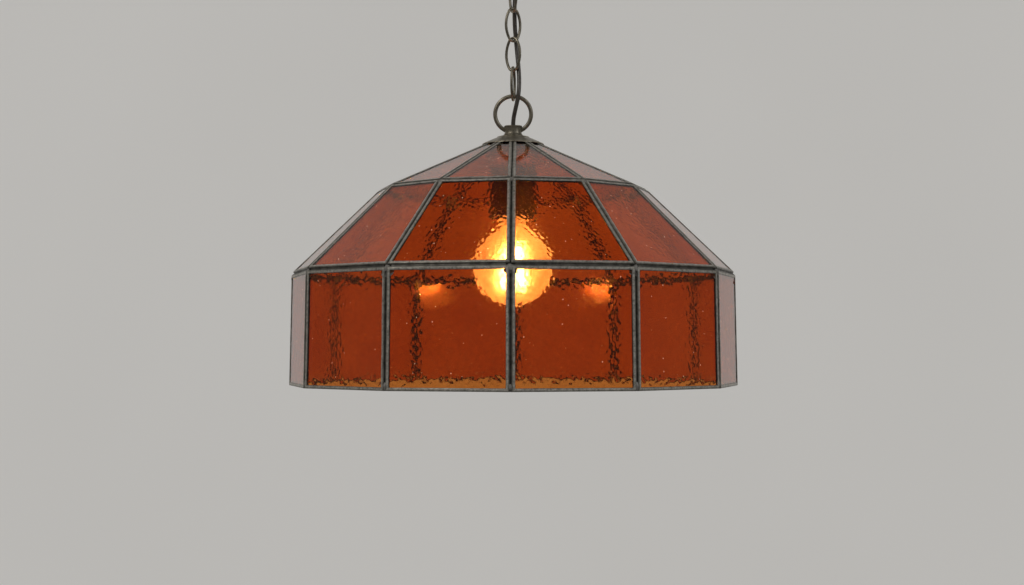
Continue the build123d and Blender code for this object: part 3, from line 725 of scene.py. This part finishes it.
# came profile: distance in from the strip's outer edge and height from its middle, in mm, and wear
# with a painted highlight, highest on the crown
CAME_FACE = (
    (3.30, 1.54, 0.1),
    (3.26, 1.78, 0.0),
    (3.05, 1.98, 0.2),
    (2.65, 2.12, 0.7),
    (2.10, 2.19, 1.0),
    (1.55, 2.18, 0.9),
    (1.00, 2.10, 0.5),
    (0.55, 1.94, 0.2),
    (0.22, 1.68, 0.1),
    (0.05, 1.30, 0.0),
)


GROOVE = 1.52 * MM  # half the gap that holds the pane


def came_profile():
    """The whole U-channel's section, as (inward, depth, wear and painted highlight), sizes in
    metres.
    """
    face = [(u * MM, v * MM, wear) for u, v, wear in CAME_FACE]
    back = [(u, -v, wear) for u, v, wear in reversed(face)]
    edge, web = CAME_FACE[0][0] * MM, 0.92 * MM
    groove = [(edge, -GROOVE, 0.0), (web, -GROOVE, 0.0), (web, GROOVE, 0.0), (edge, GROOVE, 0.0)]
    return face + back + groove


def came_data(facet, rng, step=4 * MM):
    """Four mitred channel strips round a pane, a little uneven as drawn lead is."""
    profile = came_profile()
    slope = (facet.low_half - facet.high_half) / (facet.high - facet.low)
    lean = math.sqrt(1 + slope**2)
    low, high = facet.low - CAME_OUTSIDE, facet.high + CAME_OUTSIDE

    def half_at(y, inward):
        return facet.low_half - slope * (y - facet.low) + (CAME_OUTSIDE - inward) * lean

    wobble = waves(rng, 16, 9 * MM, 45 * MM)
    dent = waves(rng, 16, 3 * MM, 9 * MM)
    corners = []
    for inward, depth, wear in profile:
        bottom, top = low + inward, high - inward
        corners.append(
            [
                (-half_at(bottom, inward), bottom),
                (half_at(bottom, inward), bottom),
                (half_at(top, inward), top),
                (-half_at(top, inward), top),
            ]
        )
    points, wears_and_highlights, painted_shades, travel = [], [], [], 0.0
    for side in range(4):
        start = np.array([c[side] for c in corners])
        end = np.array([c[(side + 1) % 4] for c in corners])
        length = np.linalg.norm(end[0] - start[0])
        count = max(2, int(length / step))
        for i in range(count):
            t = i / count
            row = start * (1 - t) + end * t
            fade = min(1.0, 4 * t, 4 * (1 - t))
            for k, (inward, depth, wear) in enumerate(profile):
                shown = inward > 1.0 * MM and abs(depth) > GROOVE + 0.01 * MM
                swell = 0.05 * MM * (wobble(travel + t * length, k * 0.2 * MM) - 1.6) * fade
                nick = 0.022 * MM * dent(travel + t * length, k * 0.8 * MM) * fade
                dip = np.sign(depth) * (min(0.0, swell) + min(0.0, nick)) if shown else 0.0
                points.append(facet.at(row[k][0], row[k][1], depth + dip))
                # each strip's crown is lightened: wear and a painted highlight
                wears_and_highlights.append(wear)
                # the inner half of every strip is marked for painted shade, near-black
                painted_shades.append(1.0 if depth < 0 else 0.0)
        travel += length
    rows = len(profile)
    return points, tube_faces(len(points) // rows, rows, True), wears_and_highlights, painted_shades


def build_cames(facets):
    metal = aged_metal(
        "came_patina", (0.075, 0.071, 0.059), (0.240, 0.226, 0.190),
        # painted shade on the cames' inner faces; wear and a painted highlight on their crowns
        rough=(0.36, 0.60), metallic=0.7, bright=(0.56, 0.53, 0.47), soot=True,
    )
    rng = np.random.default_rng(11)
    for tier in facets:
        points, faces, wears_and_highlights, painted_shades = [], [], [], []
        for facet in facets[tier]:
            strip_points, strip_faces, strip_wear_and_highlight, strip_painted_shade = came_data(facet, rng)
            base = len(points)
            points.extend(strip_points)
            wears_and_highlights.extend(strip_wear_and_highlight)
            painted_shades.extend(strip_painted_shade)
            faces.extend(tuple(base + i for i in face) for face in strip_faces)
        frames = new_object(f"{tier}_frames", points, faces)
        set_attribute(frames, "wear", wears_and_highlights)
        set_attribute(frames, "soot", painted_shades)
        paint(frames, metal)
        place(frames, "lamp", "came", f"{tier}_came")


# each ring of corners, the tier that it is read from, and that tier's low or high end
RING_ENDS = (("rim", "skirt", 0), ("waist", "skirt", 1), ("brow", "shoulder", 1))


def ring_corners(facets):
    """Corner points of the shade's rings, from where neighbouring cames meet."""
    rings = {"rim": [], "waist": [], "brow": []}
    for index in range(SIDES):
        for ring, tier, end in RING_ENDS:
            ends = []
            for facet, side in ((facets[tier][index - 1], 1), (facets[tier][index], -1)):
                y = (facet.low, facet.high)[end]
                half = (facet.low_half, facet.high_half)[end]
                ends.append(facet.at(side * half, y, facet.thick / 2))
            rings[ring].append((np.mean(ends, axis=0), facets[tier][index - 1].normal
                                + facets[tier][index].normal))
    return rings


OUTER_PUDDLE = 3.0 * MM
INNER_PUDDLE = 6.8 * MM  # wide enough to close the opening between the cames at a corner
RIM_PUDDLE = 3.8 * MM


def blob_data(centre, normal, rng, size, proud):
    """A puddle of solder: a flattened uneven dome of this size, standing this proud."""
    normal = normal / np.linalg.norm(normal)
    side = np.cross(normal, (0, 0, 1))
    side /= np.linalg.norm(side)
    up = np.cross(normal, side)
    rings, around = 7, 20
    edge = waves(rng, 6, 0.9, 2.4)
    points, faces = [centre + normal * proud], []
    for ring in range(1, rings + 1):
        lift = math.pi / 2 * ring / rings
        for k in range(around):
            angle = TAU * k / around
            reach = size * math.sin(lift) * (1 + 0.13 * float(edge(angle, 0.0)))
            points.append(
                centre
                + side * reach * math.cos(angle)
                + up * reach * 1.15 * math.sin(angle)
                + normal * (proud * math.cos(lift) - 0.6 * MM * math.sin(lift) ** 2)
            )
    points.append(centre - normal * 1.6 * MM)
    last = len(points) - 1
    for k in range(around):
        after = (k + 1) % around
        faces.append((0, 1 + k, 1 + after))
        base = 1 + (rings - 1) * around
        faces.append((last, base + after, base + k))
        for ring in range(rings - 1):
            low = 1 + ring * around
            faces.append((low + k, low + around + k, low + around + after, low + after))
    return points, faces


def build_solder(facets):
    """Solder puddles where the cames meet, outside and inside, and the finish of the grooves."""
    solder = aged_metal(
        "solder_patina", (0.17, 0.155, 0.14), (0.30, 0.285, 0.26), rough=(0.50, 0.66), metallic=0.6
    )
    rng = np.random.default_rng(5)
    rim_z = cad_box[0].z + 0.1 * MM
    parts = []
    for ring, corners in ring_corners(facets).items():
        upper = facets["shoulder" if ring == "waist" else "crown"]
        for index, (point, normal) in enumerate(corners):
            facing = normal.copy()
            if ring != "rim":
                facing += upper[index - 1].normal + upper[index].normal
            facing /= np.linalg.norm(facing)
            if ring == "rim":
                point = point + np.array((0, 0, 3.3 * MM))
            inside = point - facing * (facets["skirt"][0].thick + 0.6 * MM)
            inner_size = RIM_PUDDLE if ring == "rim" else INNER_PUDDLE
            puddles = (
                blob_data(point - facing * 0.3 * MM, facing, rng, OUTER_PUDDLE, 0.75 * MM),
                blob_data(inside, -facing, rng, inner_size, 0.9 * MM),
            )
            for points, faces in puddles:
                parts.append(([(x, y, max(z, rim_z)) for x, y, z in points], faces))
    joints_made = joined("solder_joints", parts)
    paint(joints_made, solder)
    place(joints_made, "lamp", "solder")
    groove = aged_metal(
        "groove_patina", (0.055, 0.052, 0.045), (0.125, 0.118, 0.103),
        rough=(0.45, 0.7), metallic=0.7,
    )
    paint(frame["nodes"]["solder_seams"], groove)


# ---------------------------------------------------------------- chain, ring and ceiling end
def oval(width, height, end_r, steps=LINK_STEPS):
    """Centre line of a chain link in its own plane: two tight ends and two bowed sides."""
    half_wide, half_long = width / 2, height / 2
    end_centre = half_long - end_r
    side_r = (half_wide**2 + end_centre**2 - end_r**2) / (2 * (half_wide - end_r))
    join = math.atan(end_centre / (side_r - half_wide))
    line = []
    for i in range(2 * steps):
        angle = -join + 2 * join * i / (2 * steps)
        line.append((side_r * math.cos(angle) - side_r + half_wide, side_r * math.sin(angle)))
    for i in range(2 * steps):
        angle = join + (math.pi - 2 * join) * i / (2 * steps)
        line.append((end_r * math.cos(angle), end_centre + end_r * math.sin(angle)))
    return line + [(-s, -z) for s, z in line]


def build_links(metal):
    for number in range(1, 6):
        low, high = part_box(f"chain_link_{number}")
        turn = axis_turns[number]
        height = high.z - low.z - LINK_WIRE
        flat = oval(LINK_WIDTH - LINK_WIRE, height, LINK_END_R)
        middle = (high.z + low.z) / 2
        line = np.array([(s * math.cos(turn), s * math.sin(turn), middle + z) for s, z in flat])
        # the wire's butt joint is half way up a side
        seam = len(line) // 2 + 2 * LINK_STEPS if number % 2 else LINK_STEPS

        def shape(i, angle, seam=seam):
            away = abs(i - seam)
            return 0.90 if away == 0 else 0.985 if away == 1 else 1.0

        points, faces = tube_data(line, LINK_WIRE / 2, 24, True, shape)
        link = new_object(f"link_{number}_wire", points, faces)
        wear = [0.25 + 0.75 * min(1.0, max(0.0, abs(z - middle) / (height / 2) - 0.72) / 0.2)
                for _, _, z in points]
        set_attribute(link, "wear", wear)
        paint(link, metal)
        place(link, f"link_{number}", "antique_brass", f"chain_link_{number}")


def build_lamp_loop(metal):
    """The ring and the neck that it grows from."""
    ring_z = pivots[5] + (RING_WIRE + LINK_WIRE) / 2 + 0.3 * MM - RING_R
    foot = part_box("lamp_loop")[0].z
    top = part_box("vase_cap")[1].z + 0.05 * MM + 10.4 * MM
    neck_end_x = 6.7 * MM
    span = math.asin(neck_end_x / RING_R)
    line = []
    for i in range(97):
        angle = -math.pi / 2 + span + (TAU - 2 * span) * i / 96
        line.append((RING_R * math.cos(angle), 0, ring_z + RING_R * math.sin(angle)))
    ring = tube_data(line, RING_WIRE / 2, 28)
    side = [
        (3.1, 0.0), (10.0, 0.0), (10.0, 1.25), (8.95, 2.0), (8.62, 3.4), (8.55, 5.0),
        (8.62, 6.8), (8.85, 8.4), (9.2, 9.4), (9.2, 10.4), (3.1, 10.4),
    ]
    outline = [(r * MM, foot + h * MM) for r, h in side]
    outline[-1] = (outline[-1][0], top)
    outline[-2] = (outline[-2][0], top)
    profile = rounded(outline, 0.55 * MM)
    loop = joined("ring_and_neck", [ring, lathe_data(profile, 64)])
    set_wear(loop, 0.85, 0.35, lambda r, z: z > ring_z + 0.7 * RING_R)
    paint(loop, metal)
    place(loop, "lamp", "antique_brass", "lamp_loop")


def build_cap(metal):
    """Spun vase cap: a low cone with a step round its crown and a rolled lip."""
    low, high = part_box("vase_cap")
    scale_r, scale_z = high.x / 31.7, (high.z - low.z) / 9.2143

    def p(r, h):
        return (r * scale_r, low.z + h * scale_z)

    outline = [
        p(4.95, 9.21), p(11.3, 9.21), p(12.6, 9.05), p(16.2, 8.45), p(16.9, 7.55), p(17.6, 7.15),
        p(24.2, 4.35), p(30.6, 1.45), p(31.5, 0.95), p(31.68, 0.3), p(31.5, 0.02), p(31.0, 0.3),
        p(24.0, 3.35), p(11.5, 8.4), p(4.95, 8.4),
    ]
    profile = rounded(outline, 0.5 * MM, 3)
    cap = lathe("cap_cover", profile, 96)
    set_wear(cap, 1.0, 0.3, lambda r, z: r > 30.2 * MM or 15.5 * MM < r < 17.4 * MM)
    paint(cap, metal)
    place(cap, "lamp", "antique_brass", "vase_cap")


def build_ceiling(metal):
    """Canopy, the knurled collar that holds it up, and the eye that the chain hangs on."""
    low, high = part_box("canopy")
    rim, depth = high.x, -low.z
    outline = [
        (13.7, -26.0), (20.0, -26.0), (21.2, -24.6), (23.2, -22.6), (26.2, -21.4), (30.0, -20.5),
        (40.5, -18.4), (50.0, -15.0), (57.8, -10.1), (63.5, -4.0), (63.5, -0.05), (61.0, -0.05),
        (61.0, -1.4), (56.0, -9.0), (49.2, -13.8), (40.0, -17.2), (29.6, -19.2), (23.0, -21.2),
        (19.0, -24.8), (13.7, -24.8),
    ]
    scale_r, scale_z = rim / 63.5, depth / 26.0
    profile = rounded([(r * scale_r, z * scale_z) for r, z in outline], 1.2 * MM)
    canopy = lathe("canopy_cover", profile, 128)
    set_wear(canopy, 0.9, 0.25, lambda r, z: r > 61.5 * MM)
    paint(canopy, metal)
    place(canopy, "canopy_body", "antique_brass", "canopy")

    low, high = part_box("screw_collar")
    grips, cut = 24, 0.55 * MM

    def knurl(angle, z, index):
        edge = min(1.0, min(high.z - z, z - low.z) / (1.0 * MM))
        return -cut * max(0.0, math.cos(grips * angle)) ** 3 * edge if index in outside else 0.0

    outline = [(13.2, 0.0), (17.6, 0.0), (18.5, 0.7), (18.5, 2.5), (18.5, 4.3), (17.6, 5.0),
               (13.2, 5.0)]
    profile = rounded([(r * MM, low.z + h * MM) for r, h in outline], 0.4 * MM)
    outside = {i for i, (r, _) in enumerate(profile) if r > 17.9 * MM}
    collar = lathe("collar_nut", profile, 192, wobble=knurl)
    set_wear(collar, 0.8, 0.3, lambda r, z: r > 18.2 * MM)
    paint(collar, metal)
    place(collar, "canopy_body", "antique_brass", "screw_collar")

    top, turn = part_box("ceiling_loop")[1].z, axis_turns[0]
    outline = [
        (4.85, 0.0), (11.9, 0.0), (12.9, -1.0), (12.9, -21.6), (12.4, -22.6), (10.4, -27.4),
        (9.4, -28.0), (3.1, -28.0), (3.1, -15.0), (4.85, -15.0),
    ]
    profile = rounded([(r * MM, top + h * MM) for r, h in outline], 0.5 * MM)
    eye_z = pivots[0] + EYE_R
    end_z = top - 26.5 * MM
    span = math.acos(max(-1.0, min(1.0, (end_z - eye_z) / EYE_R)))
    line = []
    for i in range(65):
        angle = span + (TAU - 2 * span) * i / 64
        s, z = EYE_R * math.sin(angle), EYE_R * math.cos(angle)
        line.append((s * math.cos(turn), s * math.sin(turn), eye_z + z))
    eye = joined("ceiling_eye", [tube_data(line, RING_WIRE / 2, 28), lathe_data(profile, 64)])
    set_wear(eye, 0.9, 0.3, lambda r, z: z < pivots[0] + 3 * MM)
    paint(eye, metal)
    place(eye, "ceiling", "antique_brass", "ceiling_loop")


# ---------------------------------------------------------------- cord
def cord_line():
    """Points along the cord's smooth line, read from a NURBS curve through the route."""
    data = bpy.data.curves.new("cord_route", "CURVE")
    data.dimensions = "3D"
    data.resolution_u = 16
    spline = data.splines.new("NURBS")
    spline.points.add(len(CORD_ROUTE) - 1)
    for point, place_at in zip(spline.points, CORD_ROUTE):
        point.co = (*place_at, 1)
    spline.order_u = 3
    spline.use_endpoint_u = True
    curve = bpy.data.objects.new("cord_route", data)
    bpy.context.scene.collection.objects.link(curve)
    bpy.context.view_layer.update()
    mesh = bpy.data.meshes.new_from_object(curve)
    line = np.array([v.co for v in mesh.vertices], float)
    bpy.data.objects.remove(curve)
    bpy.data.meshes.remove(mesh)
    return line


def cut_line(line, heights):
    """The line with a point exactly at each height, and those points' places in it."""
    out, cuts = [line[0]], [0]
    waiting = list(heights)
    for a, b in zip(line, line[1:]):
        while waiting and b[2] <= waiting[0] < a[2]:
            share = (a[2] - waiting[0]) / (a[2] - b[2])
            if 0.02 < share < 0.98:
                out.append(a + (b - a) * share)
            elif share >= 0.98:
                out.append(b)
                cuts.append(len(out) - 1)
                waiting.pop(0)
                break
            cuts.append(len(out) - 1)
            waiting.pop(0)
        if np.linalg.norm(out[-1] - b) > 1e-7:
            out.append(b)
    cuts.append(len(out) - 1)
    return np.array(out), cuts


def build_cord():
    """The supply cord, in a length for each joint of the chain."""
    middles = [sum(corner.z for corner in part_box(f"chain_link_{n}")) / 2 for n in range(1, 6)]
    line, cuts = cut_line(cord_line(), middles)
    points, _ = tube_data(line, CORD_D / 2, CORD_AROUND)
    points = np.array(points).reshape(len(line), CORD_AROUND, 3)
    jacket = cord_jacket()
    for number, (start, end) in enumerate(zip(cuts, cuts[1:])):
        rows = points[start:end + 1].reshape(-1, 3)
        faces = tube_faces(end - start + 1, CORD_AROUND, False)
        piece = new_object(f"cord_length_{number + 1}", rows, faces)
        paint(piece, jacket)
        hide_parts("supply_cord")
        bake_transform(piece)


# ---------------------------------------------------------------- bulb and socket
def bezier(a, b, c, d, t):
    """The point at t on the cubic curve from a to d, drawn towards b and c."""
    return tuple(
        (1 - t) ** 3 * p + 3 * t * (1 - t) ** 2 * q + 3 * t**2 * (1 - t) * r + t**3 * s
        for p, q, r, s in zip(a, b, c, d)
    )


def build_globe():
    globe_low, globe_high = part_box("bulb_globe")
    reach = globe_high.x
    centre = globe_low.z + reach
    wall = 0.8 * MM
    neck_top = globe_high.z
    outline, inside = [], []
    for step in range(41):
        angle = math.radians(-90 + 142 * step / 40)
        for side, r in ((outline, reach), (inside, reach - wall)):
            side.append((r * math.cos(angle), centre + r * math.sin(angle)))
    outline[0], inside[0] = (0.0, centre - reach), (0.0, centre - reach + wall)
    start, shoulder = outline[-1], (12.9 * MM, centre + 48 * MM)
    lean, pull = math.radians(52), 17 * MM
    leave = (start[0] - math.sin(lean) * pull, start[1] + math.cos(lean) * pull)
    arrive = (shoulder[0] + 0.96 * MM, shoulder[1] - 8 * MM)
    for step in range(1, 21):
        r, z = bezier(start, leave, arrive, shoulder, step / 20)
        outline.append((r, z))
        inside.append((r - wall, z))
    outline.append((12.0 * MM, neck_top))
    inside.append((12.0 * MM - wall, neck_top))
    profile = outline[1:] + inside[:0:-1]
    points, faces = lathe_data(profile, 96, closed=False)
    rows = len(profile)
    bottom, inner = len(points), len(points) + 1
    points += [(0, 0, outline[0][1]), (0, 0, inside[0][1])]
    for step in range(96):
        here, there = step * rows, (step + 1) % 96 * rows
        faces.append((bottom, there, here))
        faces.append((inner, here + rows - 1, there + rows - 1))
    globe = new_object("globe_glass", points, faces)
    paint(globe, frosted_globe())
    place(globe, "bulb", "bulb_glass", "bulb_globe")

    light = (1.0, 0.72, 0.42)
    lamp = add_light("bulb_light", "POINT", BULB_POWER, light, 18 * MM, (0, 0, centre))
    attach(lamp, "bulb")
    lamp.visible_glossy = False
    lamp.visible_transmission = False
    lamp.visible_camera = False


def build_rods():
    """Four leaning rods that glow, thinner at their ends."""
    rods, steps = [], 24
    thin = {0: 0.55, 1: 0.85, steps - 2: 0.85, steps - 1: 0.55}
    low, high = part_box("bulb_filament")
    for turn in range(4):
        angle = math.radians(45 + 90 * turn)
        foot = np.array((12 * MM * math.cos(angle), 12 * MM * math.sin(angle), low.z + 0.1 * MM))
        head = np.array((7 * MM * math.cos(angle), 7 * MM * math.sin(angle), high.z - 0.1 * MM))
        line = [foot + (head - foot) * t for t in np.linspace(0, 1, steps)]
        rods.append(tube_data(line, 1.0 * MM, 12, shape=lambda i, a: thin.get(i, 1)))
    cage = joined("filament_rods", rods)
    paint(cage, glowing_rod())
    place(cage, "bulb", "filament", "bulb_filament")


# material, dark, light, roughness, metallic, noise scale, bump, then the CAD nodes that get it
FINISHES = (
    ("zinc_plate", (0.42, 0.43, 0.42), (0.60, 0.60, 0.58), 0.35, 1.0, 120, 0.15,
     ("crossbar", "nipple_nut", "lock_nuts", "ceiling_nipple", "lamp_nipple")),
    ("bright_brass", (0.62, 0.45, 0.18), (0.80, 0.60, 0.28), 0.28, 1.0, 160, 0.1,
     ("screw_shell", "center_contact", "terminal_screws")),
    ("dark_cup", (0.011, 0.009, 0.007), (0.024, 0.019, 0.015), 0.62, 0.0, 140, 0.15,
     ("socket_cup",)),
    ("porcelain", (0.78, 0.76, 0.70), (0.88, 0.86, 0.80), 0.18, 0.0, 60, 0.03, ("socket_body",)),
    ("nickel", (0.60, 0.60, 0.58), (0.74, 0.74, 0.72), 0.25, 1.0, 200, 0.08, ("bulb_base",)),
    ("black_glass", (0.008, 0.008, 0.01), (0.02, 0.02, 0.024), 0.15, 0.0, 90, 0.02,
     ("bulb_insulator",)),
    ("tin_lead", (0.50, 0.50, 0.48), (0.66, 0.66, 0.63), 0.35, 1.0, 260, 0.2, ("bulb_contact",)),
    ("green_screw", (0.02, 0.16, 0.05), (0.05, 0.30, 0.10), 0.35, 0.6, 200, 0.1,
     ("ground_screw",)),
    ("stem_glass", (0.90, 0.90, 0.88), (0.97, 0.97, 0.95), 0.08, 0.0, 60, 0.02, ("bulb_stem",)),
)
EXTRAS = {"porcelain": {"coat": 0.6}, "stem_glass": {"transmission": 0.9}}


def paint_nodes(brass):
    """Materials for the CAD nodes that stay as they are."""
    for name, *look, names in FINISHES:
        finish = mottled(name, *look, **EXTRAS.get(name, {}))
        for node in names:
            paint(frame["nodes"][node], finish)
    paint(frame["nodes"]["inner_cap"], brass)
    jacket = cord_jacket()
    for node in ("ceiling_cord", "lamp_cord"):
        paint(frame["nodes"][node], jacket)


# ---------------------------------------------------------------- the scene
add_camera()
build_cord()
add_world()
add_stage()
add_light("soft_key", "AREA", 22.0, (1.0, 0.97, 0.93), 1.4, (-1.6, -1.5, 1.6))
add_light("soft_fill", "AREA", 10.0, (0.95, 0.97, 1.0), 1.6, (1.9, -1.2, 0.9))

facets = read_facets()
build_glass(facets)
build_cames(facets)
build_solder(facets)
bronze = aged_metal(
    "aged_brass", (0.120, 0.108, 0.082), (0.25, 0.225, 0.175),
    rough=(0.30, 0.50), metallic=0.9, bright=(0.48, 0.43, 0.33),
)
inner_brass = aged_metal(
    "inner_brass", (0.10, 0.085, 0.06), (0.2, 0.17, 0.12), rough=(0.35, 0.55), metallic=0.9
)
build_links(bronze)
build_lamp_loop(bronze)
build_cap(bronze)
build_ceiling(bronze)
build_globe()
build_rods()
paint_nodes(inner_brass)

scene = bpy.context.scene
scene.view_settings.view_transform = "Standard"
scene.view_settings.look = "None"
scene.cycles.max_bounces = 20
scene.cycles.transmission_bounces = 20
scene.cycles.transparent_max_bounces = 24
scene.cycles.glossy_bounces = 4
scene.cycles.diffuse_bounces = 3
scene.cycles.caustics_refractive = False
scene.cycles.caustics_reflective = False
scene.cycles.sample_clamp_indirect = 0.0
